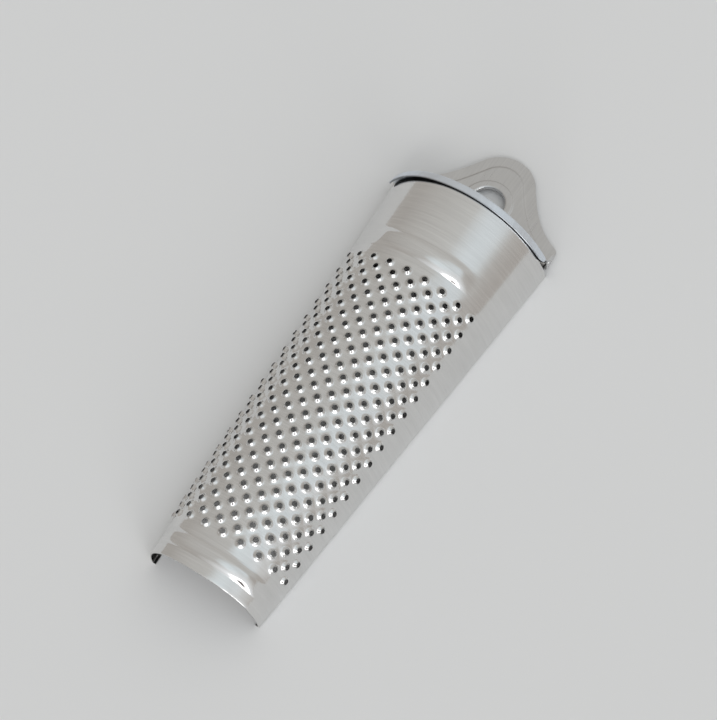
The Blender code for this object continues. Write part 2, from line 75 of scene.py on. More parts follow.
# The mouth's corners: how far they are cut back, and from which height down
CORNER_DEPTH = 0.001
CORNER_FOOT_Z = 0.006
CORNER_HEAD_Z = 0.0095

# The plain rows of the box, between the upper bead and the mouth
BOX_FOOT_Y = 0.0861
BOX_ROWS = 12

# Beads: start, crest and crease along the grater, how far round the arch they reach before they
# fade, and the rows of points across them
BEAD_RISE = 0.0007
UPPER_BEAD = (0.0848, 0.0826, 0.0796)
LOWER_BEAD = (0.0066, 0.0049, 0.0026)
BEAD_FALL_POWER = 3.6
BEAD_FULL_ARC = 0.0085
BEAD_FADED_ARC = 0.0138
BEAD_LEAD = 0.0002
BEAD_CLIMB_ROWS = 8
BEAD_FALL_SHARES = (0.2, 0.38, 0.53, 0.66, 0.76, 0.85, 0.92, 0.97, 0.995)
BEAD_PAST_CREASE = (0.00003, 0.0001, 0.0003)

# Teeth, on every second point of a lattice. Each has rings of points, from its lip outwards
ROWS = 33
COLUMNS = 8
PITCH_ACROSS = 0.002137
PITCH_ALONG = 0.002092
FIRST_ROW_Y = 0.07648
TOOTH_AROUND = 16
QUARTER = TOOTH_AROUND // 4
RING_RADII = (0.00056, 0.00065, 0.00077, 0.00090, 0.00102, 0.00113, 0.00130)
LIP_RADIUS = RING_RADII[0]
LIP_THICKNESS = 0.00009
TOOTH_FOOT_RADIUS = 0.00116
TOOTH_RISE = 0.00054
FLANK_POWER = 1.5
SWELL_RADIUS = 0.00175
SWELL_RISE = 0.00013
TEAR_DEPTH = 0.00010
TEAR_RAGGED = 0.00003
TEAR_SEED = 7
MARGIN_COLUMNS = 13

# Painted shade, from 0 for bare metal to 1 for NEARLY_BLACK: round each torn lip, over the inside
# of the arch, inside the lid's flange, and along the flange's lower edge where it dims a highlight
LIP_SHADE_RADIUS = 0.00068
LIP_SHADE = 0.7
INSIDE_SHADE = 0.4
LID_INSIDE_SHADE = 0.85
LID_EDGE_SHADE = 0.25
NEARLY_BLACK = (0.03, 0.03, 0.032, 1.0)

# Back plate and ears
PLATE_BACK_Z = SHEET + SEAT_GAP
PLATE_FRONT_Z = PLATE_BACK_Z + SHEET
PLATE_FOOT_Y = 0.0798
NOTCH_WIDTH = 0.00045
NOTCH_DEPTH = 0.0006
EAR_OUTER_X = 0.0197
EAR_FOOT_Y = MOUTH_Y + SEAT_GAP
EAR_HEAD_Y = EAR_FOOT_Y + 0.0029
EAR_BEND = 0.0007
EAR_LAP = 0.0003
EAR_TOP_Z = 0.00354
EAR_ROUND = 0.0008
EAR_ROWS = 9
EAR_BEND_STEPS = 9
EAR_WALL_STEPS = 5

# Hanger: its outline, with the points on its top, its flank and its shoulder, then its field
HANGER_TOP_Y = 0.11935
HANGER_TOP_RADIUS = 0.00805
HANGER_TOP_ANGLE = math.radians(35)
SHOULDER = (0.0194, 0.10299)
SHOULDER_RADIUS = 0.0013
SHOULDER_SLOPE = math.radians(24)
FLANK_SHARES = (0.31, 0.43)
TOP_POINTS, FLANK_POINTS, SHOULDER_POINTS = 22, 40, 12
FIELD_INSET = 0.0027
FIELD_SLOPE = 0.0007
FIELD_RISE = 0.00042
FIELD_FOOT_Y = 0.1032

# Hanging hole with its collar, and the rings and rays of points that the plate is laid out on
HOLE = (0.0, 0.1065)
HOLE_RADIUS = 0.0039
COLLAR_RADIUS = 0.00565
COLLAR_STEP = 0.0004
COLLAR_RISE = 0.0003
COLLAR_ROLL = 0.0005
COLLAR_ROLL_SHARE = 0.9
COLLAR_APRON = 0.0002
COLLAR_RINGS = 16
PLATE_RINGS = 41
PLATE_RAYS = 220
PLATE_CORNERS = 9
CORNER_RAY_TURN = 1e-4

# Lid: its offset from the mouth, its bend and its flange, which stands off further on the left
LID_BACK_Y = MOUTH_Y + SEAT_GAP
LID_FRONT_Y = LID_BACK_Y + SHEET
LID_OFFSET = 0.0007
LID_BEND = 0.00042
LID_SLACK = 0.00035
LID_SLACK_ARCS = (-0.002, -0.012)
LID_FOOT_HALF_WIDTH = 0.019
SKIRT_DEPTH = 0.00175
SKIRT_FLARE = 0.00016
SKIRT_END_Z = 0.0047
SKIRT_END_ROUND = 0.0022
SKIRT_EDGE_REACH = 1e-6
LID_COLUMNS = 141
LID_CROWDING = 1.2
SKIRT_ROWS = 5
LID_BEND_ROWS = 7
MOON_SHARES = (0.03, 0.08, 0.2, 0.4, 0.6, 0.8, 1.0)
FOOT_SHARES = (0.5, 1.0)

# Hinge: the pin and the lid's edge rolled round it
PIN_RADIUS = 0.0005
PIN_HALF_LENGTH = 0.01985
PIN_ROUND = 0.00015
PIN_ROUND_STEPS = 6
PIN_AROUND = 32
KNUCKLE_INNER = 0.00062
KNUCKLE_OUTER = KNUCKLE_INNER + SHEET
KNUCKLE_HALF_LENGTH = 0.0165
KNUCKLE_TURN = math.radians(290)
KNUCKLE_STEPS = 37
HINGE = (LID_BACK_Y + KNUCKLE_OUTER, PLATE_FRONT_Z + SEAT_GAP + KNUCKLE_OUTER)

# Meshes: points nearer than WELD are one point, and edges sharper than SHARP_ANGLE stay sharp. A
# HAIR is room for rounding, and NEARLY_NONE takes the place of a zero that would be divided by
WELD = 1e-7
SHARP_ANGLE = math.radians(40)
HAIR = 1e-9
NEARLY_NONE = 1e-15

# Steel: noise scales per metre, the tint's share in the darkest streaks, and how much the fine
# streaks, the broad patches and the specks sway the colour, the roughness and the relief
BROAD_SCALE = 160.0
SPECK_SCALE = 2600.0
STREAK_TINT_SHARE = 0.85
FINE_COLOUR, BROAD_COLOUR = 1.4, 0.5
FINE_ROUGH, BROAD_ROUGH, SPECK_ROUGH = 0.10, 0.06, 0.03
BROAD_RELIEF = 4.0

# Places of the outputs in use, on nodes that have several
OBJECT_PLACE, SKY_DIRECTION, MIXED_COLOUR, ATTRIBUTE_NUMBER, DOT_PRODUCT = 3, 0, 2, 2, 1

# Floor
FLOOR_REACH = 6.0
FLOOR_DROP = 0.0001
FLOOR_COLOUR = (0.725, 0.725, 0.725, 1.0)
FLOOR_ROUGHNESS = 0.9

# Sky: its base colour, and lobes laid over it in turn. Each has a direction, the angles off it in
# degrees at which the lobe stops being full and has faded out, and a colour. The last three are the
# glow round the window, the window, and a small dark patch on it
SKY_BASE = (0.475, 0.455, 0.43)
SKY_LOBES = (
    ((0.5, 0.3, 0.8), 15, 95, (0.645, 0.645, 0.63)),
    ((0.55, 0.35, 0.76), 6, 26, (0.785, 0.838, 0.868)),
    ((0.2, -0.08, 0.98), 8, 24, (0.87, 0.94, 0.975)),
    ((0.91, 0.41, 0.0), 8, 36, (0.50, 0.475, 0.45)),
    ((0.604, -0.72, 0.342), 34, 62, (1.0, 1.03, 1.06)),
    ((0.604, -0.72, 0.342), 25, 31, (4.0, 4.0, 4.0)),
    ((0.54, -0.74, 0.40), 11, 17, (0.10, 0.08, 0.08)),
)

# Camera: its place, the directions that run right, down and ahead in its picture, and its lens
CAMERA_PLACE = (0.13855, RIM_Y - 0.08912, 0.37997)
CAMERA_RIGHT = (0.82804, 0.5532, -0.09121)
CAMERA_DOWN = (0.45481, -0.75787, -0.46774)
CAMERA_AHEAD = (-0.32788, 0.34582, -0.87915)
CAMERA_LENS = 102.2
CAMERA_CLIP_START = 0.01


class Sockets:
    """A shader socket in an expression: it adds the Math node for each operator that it meets."""

    def __init__(self, tree, link):
        self.tree, self.link = tree, link

    def _math(self, operation, *values):
        settings = {"operation": operation}
        return Graph(self.tree).node("ShaderNodeMath", settings, dict(enumerate(values)))

    def __add__(self, other):
        return self._math("ADD", self, other)

    __radd__ = __add__

    def __sub__(self, other):
        return self._math("SUBTRACT", self, other)

    def __rsub__(self, other):
        return self._math("SUBTRACT", other, self)

    def __mul__(self, other):
        return self._math("MULTIPLY", self, other)

    __rmul__ = __mul__

    def __truediv__(self, other):
        return self._math("DIVIDE", self, other)

    def clamp(self):
        return self._math("MINIMUM", self._math("MAXIMUM", self, 0.0), 1.0)


class Graph:
    """A node tree, with one method that adds a node from its settings and its socket values."""

    def __init__(self, tree):
        self.tree = tree

    def node(self, kind, settings=None, values=None, output=0):
        node = self.tree.nodes.new(kind)
        for name, value in (settings or {}).items():
            setattr(node, name, value)
        for name, value in (values or {}).items():
            if isinstance(value, Sockets):
                self.tree.links.new(value.link, node.inputs[name])
            else:
                node.inputs[name].default_value = value
        return Sockets(self.tree, node.outputs[output])


def blend(graph, factor, a, b):
    """A colour that goes from a to b as the factor goes from 0 to 1."""
    values = {"Factor": factor, "A": a, "B": b}
    return graph.node("ShaderNodeMix", {"data_type": "RGBA"}, values, output=MIXED_COLOUR)


def steel(name, tint, roughness, grain_scale, grain_depth, shade_name=None):
    """Brushed stainless steel, with streaks as many per metre along each axis as grain_scale says.

    Colour and roughness are their middle values plus the sways of the noises about 0.5. shade_name
    is the point attribute, if any, of painted shade that darkens the metal towards nearly black.
    """
    material = bpy.data.materials.new(name)
    material.use_nodes = True
    graph = Graph(material.node_tree)
    shader = material.node_tree.nodes["Principled BSDF"]
    shader.inputs["Metallic"].default_value = 1.0
    place = graph.node("ShaderNodeTexCoord", output=OBJECT_PLACE)
    streaks = graph.node("ShaderNodeMapping", {}, {"Vector": place, "Scale": grain_scale})
    fine, broad, specks = (
        graph.node("ShaderNodeTexNoise", {}, values)
        for values in (
            {"Vector": streaks, "Scale": 1.0, "Detail": 3.0, "Roughness": 0.6},
            {"Vector": place, "Scale": BROAD_SCALE, "Detail": 2.0},
            {"Vector": place, "Scale": SPECK_SCALE, "Detail": 1.0},
        )
    )
    dark = tuple(STREAK_TINT_SHARE * channel for channel in tint)
    sway = (fine - 0.5) * FINE_COLOUR + (broad - 0.5) * BROAD_COLOUR
    colour = blend(graph, (sway + 0.5).clamp(), (*dark, 1.0), (*tint, 1.0))
    # Painted shade: the colour is blended towards nearly black by the point attribute
    if shade_name:
        settings = {"attribute_name": shade_name}
        painted_shade = graph.node("ShaderNodeAttribute", settings, output=ATTRIBUTE_NUMBER)
        colour = blend(graph, painted_shade, colour, NEARLY_BLACK)
    rough = roughness + (fine - 0.5) * FINE_ROUGH + (broad - 0.5) * BROAD_ROUGH
    rough = rough + (specks - 0.5) * SPECK_ROUGH
    relief = {"Strength": 1.0, "Distance": grain_depth, "Height": fine + broad * BROAD_RELIEF}
    bump = graph.node("ShaderNodeBump", {}, relief)
    for socket, value in (("Base Color", colour), ("Roughness", rough), ("Normal", bump)):
        material.node_tree.links.new(value.link, shader.inputs[socket])
    return material


def superellipse_table():
    """Half sections of the arch at many heights: x and z over equal shares of the arc.

    The arc runs from the crown. Each section is a superellipse, x = reach cos^(2/n) and
    z = rise sin^(2/n) - depth, whose size, fullness n and sunk centre change evenly from the rim to
    the mouth. Also returns each section's arc length.
    """
    heights = np.linspace(0.0, 1.0, TABLE_Y)[:, None]
    width, height, fullness, depth = (
        a + (b - a) * heights for a, b in zip(RIM_ARCH, MOUTH_ARCH)
    )
    rise = height + depth
    reach = width / (1 - (depth / rise) ** fullness) ** (1 / fullness)
    foot = np.arcsin(((depth + HEM_RADIUS) / rise) ** (fullness / 2))
    angle = math.pi / 2 + (foot - math.pi / 2) * np.linspace(0.0, 1.0, TABLE_FINE_ARC)
    x = reach * np.abs(np.cos(angle)) ** (2 / fullness)
    z = rise * np.sin(angle) ** (2 / fullness) - depth
    x[:, 0] = 0.0
    step = np.hypot(np.diff(x, axis=1), np.diff(z, axis=1))
    run = np.concatenate([np.zeros((TABLE_Y, 1)), np.cumsum(step, axis=1)], axis=1)
    even = np.linspace(0.0, 1.0, TABLE_ARC)
    rows = [[np.interp(even * r[-1], r, side) for side in (a, b)] for r, a, b in zip(run, x, z)]
    return np.array(rows), run[:, -1]


ARCH, ARCH_RUN = superellipse_table()


def arch_run(y):
    """Arc length from the crown to the hem at height y."""
    return np.interp(y, np.linspace(0.0, MOUTH_Y, TABLE_Y), ARCH_RUN)


def on_arch(arc, y, lift):
    """Places at a signed arc length from the crown and height y, lifted along the outer normal.

    The normal is square to the chord between the table's points a span behind and a span ahead,
    and it eases to upright at the crown.
    """
    share = np.clip(np.abs(arc) / arch_run(y), 0.0, 1.0) * (TABLE_ARC - 1)
    level = np.clip(y / MOUTH_Y, 0.0, 1.0) * (TABLE_Y - 1)
    column = np.minimum(share.astype(int), TABLE_ARC - 2)
    row = np.minimum(level.astype(int), TABLE_Y - 2)
    across, along = share - column, level - row
    near, far = (
        ARCH[at, :, column].T * (1 - across) + ARCH[at, :, column + 1].T * across
        for at in (row, row + 1)
    )
    x, z = near * (1 - along) + far * along
    wide = np.clip(column, NORMAL_SPAN, TABLE_ARC - 2 * NORMAL_SPAN)
    turn_x, turn_z = ARCH[row, :, wide + NORMAL_SPAN].T - ARCH[row, :, wide - NORMAL_SPAN].T
    turn_z = np.where(column < NORMAL_SPAN, turn_z * share / NORMAL_SPAN, turn_z)
    length = np.hypot(turn_x, turn_z)
    side = np.where(arc < 0, -1.0, 1.0)
    place = [side * (x - lift * turn_z / length), y + RIM_Y, z + lift * turn_x / length]
    return np.stack(place, axis=-1)


def smooth(share):
    """A share from 0 to 1 eased at both ends: 3 share^2 - 2 share^3."""
    share = np.clip(share, 0.0, 1.0)
    return share * share * (3 - 2 * share)


def bead_lift(arc, y):
    """Height of the two beads, fading out round the arch.

    A raised cosine climbs to the crest; from there the fall steepens as 1 - share^power, to a
    crisp crease.
    """
    lift = np.zeros_like(y)
    for start, crest, crease in (UPPER_BEAD, LOWER_BEAD):
        climb = np.clip((start - y) / (start - crest), 0.0, 1.0)
        fall = np.clip((crest - y) / (crest - crease), 0.0, 1.0)
        lift += (1 - np.cos(math.pi * climb)) / 2 * (1 - fall**BEAD_FALL_POWER)
    fade = smooth((BEAD_FADED_ARC - np.abs(arc)) / (BEAD_FADED_ARC - BEAD_FULL_ARC))
    return BEAD_RISE * lift * fade


def bead_levels(start, crest, crease):
    """Heights of the rows across a bead, from its start past its crease, closest at the crease."""
    climb = np.linspace(start + BEAD_LEAD, crest, BEAD_CLIMB_ROWS)
    fall = crest - (crest - crease) * np.array(BEAD_FALL_SHARES)
    return np.concatenate([climb, fall, crease - np.array(BEAD_PAST_CREASE)])


def edge_roll(y):
    """How far the outer face drops where the rim's edge is rolled over, on a quarter circle."""
    share = np.clip(1 - y / EDGE_ROLL, 0.0, 1.0)
    return EDGE_ROLL * (1 - np.sqrt(1 - share * share))


def mouth_cut(y, z):
    """Heights of the mouth's edge, drawn down at the corners, for points that stand at z."""
    drop = CORNER_DEPTH * smooth((CORNER_HEAD_Z - z) / (CORNER_HEAD_Z - CORNER_FOOT_Z))
    return np.where(y >= MOUTH_Y, MOUTH_Y - drop, y)


def grid_faces(rows, columns, start=0, closed=False):
    """Quads of a grid numbered row by row; a closed one also joins its last column to the first."""
    row, column = np.mgrid[0 : rows - 1, 0 : columns - (0 if closed else 1)]
    after = (column + 1) % columns
    below, above = row * columns, (row + 1) * columns
    corners = [below + column, below + after, above + after, above + column]
    return np.stack(corners, axis=-1).reshape(-1, 4) + start


def turned(faces, points, away):
    """The quads with each one that faces the wrong way turned round, those last."""
    a, b, c, d = (points[faces[:, k]] for k in range(4))
    normals = np.cross(c - a, d - b)
    wrong = np.einsum("ij,ij->i", normals, away[faces].mean(axis=1)) < 0
    return np.concatenate([faces[~wrong], faces[wrong][:, ::-1]])


def closed_sheet(outer, inner, faces):
    """Two faces of a sheet that share their numbering, with a wall round each free edge."""
    count = len(outer)
    ends = np.stack([faces, np.roll(faces, -1, axis=1)], axis=-1).reshape(-1, 2)
    ends = ends[ends[:, 0] != ends[:, 1]]
    code = ends[:, 0] * count + ends[:, 1]
    back = ends[:, 1] * count + ends[:, 0]
    free = ends[~np.isin(code, back)]
    wall = np.stack([free[:, 1], free[:, 0], free[:, 0] + count, free[:, 1] + count], axis=-1)
    return np.concatenate([outer, inner]), np.concatenate([faces, faces[:, ::-1] + count, wall])


def welded(keys, faces, *tables):
    """Joins the points whose keys agree to the WELD distance, in the faces and in the tables."""
    grid = np.round(keys / WELD).astype(np.int64)
    _, first, number = np.unique(grid, axis=0, return_index=True, return_inverse=True)
    faces = number.reshape(-1)[faces]
    return (faces, *(table[first] for table in tables))


def add_piece(name, material, body, node, slot, points, faces, shades=None):
    """Puts a finished mesh in the scene, on its body and in its node's place.

    It is smooth but for its sharp edges. Quads that welding has emptied are left out.
    """
    mesh = bpy.data.meshes.new(name)
    quads = [tuple(dict.fromkeys(face)) for face in faces.tolist()]
    mesh.from_pydata(points.tolist(), [], [face for face in quads if len(face) > 2])
    mesh.update()
    mesh.materials.append(material)
    mesh.shade_smooth()
    mesh.set_sharp_from_angle(angle=SHARP_ANGLE)
    if shades is not None:
        attribute = mesh.attributes.new("shade", "FLOAT", "POINT")
        attribute.data.foreach_set("value", shades.astype(np.float32))
    piece = bpy.data.objects.new(name, mesh)
    bpy.context.scene.collection.objects.link(piece)
    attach(piece, body)
    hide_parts(node)


def tooth_cells():
    """Points of every tooth, ring by ring from the lip to the edge of its diamond cell.

    Rings are circles about the tooth; the last one is the diamond through the four neighbouring
    lattice points. Returns arc, y and the distance from the tooth's centre, each by tooth, ring
    and step.
    """
    column, row = np.meshgrid(np.arange(-COLUMNS, COLUMNS + 1), np.arange(ROWS))
    keep = (column + row) % 2 == 0
    centre_arc, centre_y = column[keep] * PITCH_ACROSS, FIRST_ROW_Y - row[keep] * PITCH_ALONG
    turn = np.arange(TOOTH_AROUND) * math.tau / TOOTH_AROUND
    quarter, part = np.divmod(np.arange(TOOTH_AROUND), QUARTER)
    corners = np.array([(1.0, 0.0), (0.0, 1.0), (-1.0, 0.0), (0.0, -1.0)])
    share = (part / QUARTER)[:, None]
    diamond = corners[quarter] * (1 - share) + corners[(quarter + 1) % 4] * share
    diamond = diamond * (PITCH_ACROSS, PITCH_ALONG)
    circle = np.stack([np.cos(turn), np.sin(turn)], axis=-1)
    rings = np.array([radius * circle for radius in RING_RADII] + [diamond])
    arc = centre_arc[:, None, None] + rings[None, :, :, 0]
    y = centre_y[:, None, None] + rings[None, :, :, 1]
    return arc, y, np.broadcast_to(np.hypot(rings[..., 0], rings[..., 1]), arc.shape)


def tooth_lift(far, wobble):
    """Height of a tooth's outer face, whose torn lip, the first ring, is ragged.

    The flank is rise x share^power, which steepens towards the lip, on a low swell of the sheet
    around it, which is a raised cosine.
    """
    share = np.clip((TOOTH_FOOT_RADIUS - far) / (TOOTH_FOOT_RADIUS - LIP_RADIUS), 0.0, 1.0)
    torn = np.where(far <= LIP_RADIUS + HAIR, wobble, 0.0)
    swell = SWELL_RISE * (1 + np.cos(math.pi * np.clip(far / SWELL_RADIUS, 0.0, 1.0))) / 2
    return TOOTH_RISE * share**FLANK_POWER + swell + torn


def zigzag(steps):
    """0 at each even point of the lattice and 1 at each odd one, straight in between."""
    wave = (steps / QUARTER) % 2
    return np.where(wave > 1, 2 - wave, wave)


def plain_strips():
    """The plain sheet round the teeth, as grids of arc and y: above, below and at both sides.

    Each grid begins on the zigzag through the outermost points of the lattice. Also returns the
    heights of the rows at the sides.
    """
    steps = np.arange(-(COLUMNS + 1) * QUARTER, (COLUMNS + 1) * QUARTER + 1)
    band_arc = steps * PITCH_ACROSS / QUARTER
    out = (1 - zigzag(steps)) * PITCH_ALONG
    last_y = FIRST_ROW_Y - (ROWS - 1) * PITCH_ALONG
    box_levels = np.linspace(BOX_FOOT_Y, MOUTH_Y, BOX_ROWS)
    top_levels = np.append(bead_levels(*UPPER_BEAD)[::-1], box_levels)
    foot_levels = np.append(bead_levels(*LOWER_BEAD), RIM_LEVELS)
    grids = []
    for edge_y, levels in ((FIRST_ROW_Y + out, top_levels), (last_y - out, foot_levels)):
        level = np.broadcast_to(levels[:, None], (len(levels), len(band_arc)))
        rows = np.concatenate([edge_y[None], level])
        grids.append((np.broadcast_to(band_arc, rows.shape), rows))

    steps = np.arange(QUARTER * (ROWS - 1) + 1)
    side_y = FIRST_ROW_Y - steps * PITCH_ALONG / QUARTER
    side_rows = np.concatenate([top_levels[::-1], side_y, foot_levels])
    inset = [np.zeros(len(top_levels)), zigzag(steps), np.zeros(len(foot_levels))]
    start_arc = (COLUMNS + 1 - np.concatenate(inset)) * PITCH_ACROSS
    shares = np.linspace(0.0, 1.0, MARGIN_COLUMNS)
    arc = start_arc[:, None] + (arch_run(side_rows)[:, None] - start_arc[:, None]) * shares
    rows = np.broadcast_to(side_rows[:, None], arc.shape)
    grids += [(side * arc, rows) for side in (-1.0, 1.0)]
    return grids, side_rows


def hem_columns(side, y, radius, height):
    """One face of a folded edge: a quarter bend, and a flange that runs in at one height."""
    edge = on_arch(side * arch_run(y), y, np.zeros_like(y))
    turn = np.linspace(0.0, math.pi / 2, HEM_STEPS)[1:]
    inward = np.concatenate([HEM_RADIUS - radius * np.cos(turn), [HEM_RADIUS + HEM_FLANGE]])
    down = np.concatenate([HEM_RADIUS - radius * np.sin(turn), [height]])
    x = edge[:, :1] - side * inward
    z = np.broadcast_to(down, x.shape)
    return np.stack([x, np.broadcast_to(edge[:, 1:2], x.shape), z], axis=-1)


def hem_strip(side, y):
    """The folded edge on one side, from the foot of the arch at heights y.

    Returns grids of its outer points, its inner points and the keys by which it is welded on.
    """
    run = arch_run(y)
    cut = mouth_cut(y, on_arch(run, y, np.zeros_like(y))[:, 2])
    grids = []
    for lift, radius, height in ((0.0, HEM_RADIUS, 0.0), (-SHEET, HEM_RADIUS - SHEET, SHEET)):
        first = on_arch(side * run, cut, np.full_like(cut, lift))[:, None]
        bend = hem_columns(side, cut, radius, height)
        grids.append(np.concatenate([first, bend], axis=1))
    across = side * run[:, None] + side * np.arange(grids[0].shape[1]) * SHEET
    return *grids, np.stack([across, np.broadcast_to(y[:, None], across.shape)], axis=-1)


def grating_sheet():
    """The tapered arch with its beads, teeth and folded edges, as one closed sheet with its painted
    shade.
    """
    rng = np.random.default_rng(TEAR_SEED)
    arc, y, far = tooth_cells()
    teeth, rings, around = arc.shape
    ragged = rng.normal(0.0, TEAR_RAGGED, (teeth, 1, around))
    lift = tooth_lift(far, ragged - TEAR_DEPTH * rng.random((teeth, 1, around)))
    share = np.clip((far - LIP_RADIUS) / (RING_RADII[-2] - LIP_RADIUS), 0.0, 1.0)
    wall = LIP_THICKNESS + (SHEET - LIP_THICKNESS) * share
    cell = grid_faces(rings, around, closed=True)
    faces = [(cell + np.arange(teeth)[:, None, None] * rings * around).reshape(-1, 4)]
    parts = [(arc, y, lift, wall)]
    strips, side_rows = plain_strips()
    for arc, y in strips:
        faces.append(grid_faces(*y.shape, start=sum(part[0].size for part in parts)))
        parts.append((arc, y, np.zeros(y.shape), np.full(y.shape, SHEET)))
    arc, y, lift, wall = (
        np.concatenate([part.ravel() for part in column]) for column in zip(*parts)
    )

    lift = lift + bead_lift(arc, y)
    top = mouth_cut(y, on_arch(arc, y, lift)[:, 2])
    outer, inner = on_arch(arc, top, lift - edge_roll(y)), on_arch(arc, top, lift - wall)
    hems = [hem_strip(side, side_rows) for side in (-1.0, 1.0)]
    rows, columns = hems[0][0].shape[:2]
    groups = [np.concatenate(faces)]
    groups += [grid_faces(rows, columns, len(outer) + k * rows * columns) for k in (0, 1)]
    # Painted shade: darkest at each torn lip and gone by LIP_SHADE_RADIUS, and INSIDE_SHADE over
    # the inner face of the arch but not its hems
    painted_shade = np.zeros(len(outer) + 2 * rows * columns)
    shade = (LIP_SHADE_RADIUS - far.ravel()) / (LIP_SHADE_RADIUS - LIP_RADIUS)
    painted_shade[: far.size] = np.clip(shade, 0.0, 1.0)
    inside = np.where(np.arange(len(painted_shade)) < len(outer), INSIDE_SHADE, 0.0)
    outer, inner, keys = (
        np.concatenate([grid.reshape(-1, grid.shape[-1]) for grid in column])
        for column in zip((outer, inner, np.stack([arc, y], axis=-1)), *hems)
    )

    faces = np.concatenate([turned(group, outer, outer - inner) for group in groups])
    faces, outer, inner, painted_shade, inside = welded(keys, faces, outer, inner, painted_shade, inside)
    shades = np.concatenate([painted_shade * LIP_SHADE, inside + (1 - inside) * painted_shade])
    return *closed_sheet(outer, inner, faces), shades


def skirt_place(arc, lift, level):
    """Places beside the mouth's section, lifted off it, at their own heights along the grater."""
    place = on_arch(arc, np.full_like(arc, MOUTH_Y), np.broadcast_to(lift, arc.shape))
    place[:, 1] = level + RIM_Y
    return place


def lid_sheet():
    """The lid as one closed sheet with its painted shade.

    It is a flange round the arch, a tight bend, a half-moon stepped in between the ears, and a
    rolled edge. The flange's depth rounds off at its ends on a quarter ellipse.
    """
    run = np.linspace(0.0, 1.0, TABLE_ARC)
    end = np.interp(-SKIRT_END_Z, -ARCH[-1, 1], run) * ARCH_RUN[-1]
    turns = np.linspace(-1.0, 1.0, LID_COLUMNS) * LID_CROWDING
    arc = end * np.sin(turns) / math.sin(LID_CROWDING)
    edge_z = on_arch(arc, np.full_like(arc, MOUTH_Y), np.zeros_like(arc))[:, 2]
    round_share = np.clip((edge_z - SKIRT_END_Z) / SKIRT_END_ROUND, 0.0, 1.0)
    depth = 2 * SHEET + (SKIRT_DEPTH - 2 * SHEET) * np.sqrt(1 - (1 - round_share) ** 2)
    bend_offset, bend_y = LID_OFFSET - SKIRT_FLARE - LID_BEND, LID_FRONT_Y - LID_BEND
    tight, loose = LID_SLACK_ARCS
    slack = LID_SLACK * smooth((arc - tight) / (loose - tight))
    foot_z = HINGE[1] + PIN_RADIUS

    def face(inset):
        """Rows of one face: inset is 0 on the outside and the sheet's thickness on the inside."""
        rows = []
        for share in np.linspace(0.0, 1.0, SKIRT_ROWS + 1)[:-1]:
            level = LID_FRONT_Y - depth + (depth - LID_BEND) * share
            rows.append((LID_OFFSET - SKIRT_FLARE * share - inset, level))
        radius = LID_BEND - inset
        for turn in np.linspace(0.0, math.pi / 2, LID_BEND_ROWS):
            level = np.full_like(arc, bend_y + radius * math.sin(turn))
            rows.append((bend_offset + radius * math.cos(turn), level))
        points = [skirt_place(arc, lift + slack, level) for lift, level in rows]
        rim = points[-1]
        chord_x = rim[:, 0] * LID_FOOT_HALF_WIDTH / abs(rim[0, 0])
        for end_x in (-KNUCKLE_HALF_LENGTH, KNUCKLE_HALF_LENGTH):
            chord_x[np.argmin(np.abs(chord_x - end_x))] = end_x
        chord = np.stack([chord_x, rim[:, 1], np.full_like(chord_x, SKIRT_END_Z)], axis=-1)
        foot = chord * (1, 1, 0) + (0, 0, foot_z)
        points += [rim + (chord - rim) * share for share in MOON_SHARES]
        points += [chord + (foot - chord) * share for share in FOOT_SHARES]
        return np.array(points)

    outer, inner = face(0.0), face(SHEET)
    keep = np.abs(outer[-1, :, 0]) <= KNUCKLE_HALF_LENGTH + HAIR
    turns = math.pi + KNUCKLE_TURN * np.linspace(0.0, 1.0, KNUCKLE_STEPS)
    rolls = []
    for grid, radius in ((outer, KNUCKLE_INNER), (inner, KNUCKLE_OUTER)):
        x = grid[-1, keep, 0]
        across = np.append([grid[-1, 0, 1] - RIM_Y], HINGE[0] + radius * np.cos(turns))
        down = np.append([foot_z], HINGE[1] + radius * np.sin(turns))
        level = np.broadcast_to(across[:, None] + RIM_Y, (len(across), len(x)))
        height = np.broadcast_to(down[:, None], level.shape)
        rolls.append(np.stack([np.broadcast_to(x, level.shape), level, height], axis=-1))
    groups = [grid_faces(*outer.shape[:2])]
    groups.append(grid_faces(*rolls[0].shape[:2], start=outer.size // 3))
    outer, inner = (
        np.concatenate([grid.reshape(-1, 3), roll.reshape(-1, 3)])
        for grid, roll in zip((outer, inner), rolls)
    )
    faces = np.concatenate([turned(group, outer, outer - inner) for group in groups])
    faces, outer, inner = welded(outer, faces, outer, inner)
    # Painted shade: dark on the lid's inside below its bend, so the gap under the flange reads
    # black, and dimmer along the flange's lower edge, where it damps a highlight
    under = LID_INSIDE_SHADE * (inner[:, 1] - RIM_Y < bend_y)
    edge_y = LID_FRONT_Y - SKIRT_DEPTH + SKIRT_EDGE_REACH
    lower_edge = LID_EDGE_SHADE * (outer[:, 1] - RIM_Y < edge_y)
    return *closed_sheet(outer, inner, faces), np.concatenate([lower_edge, under])


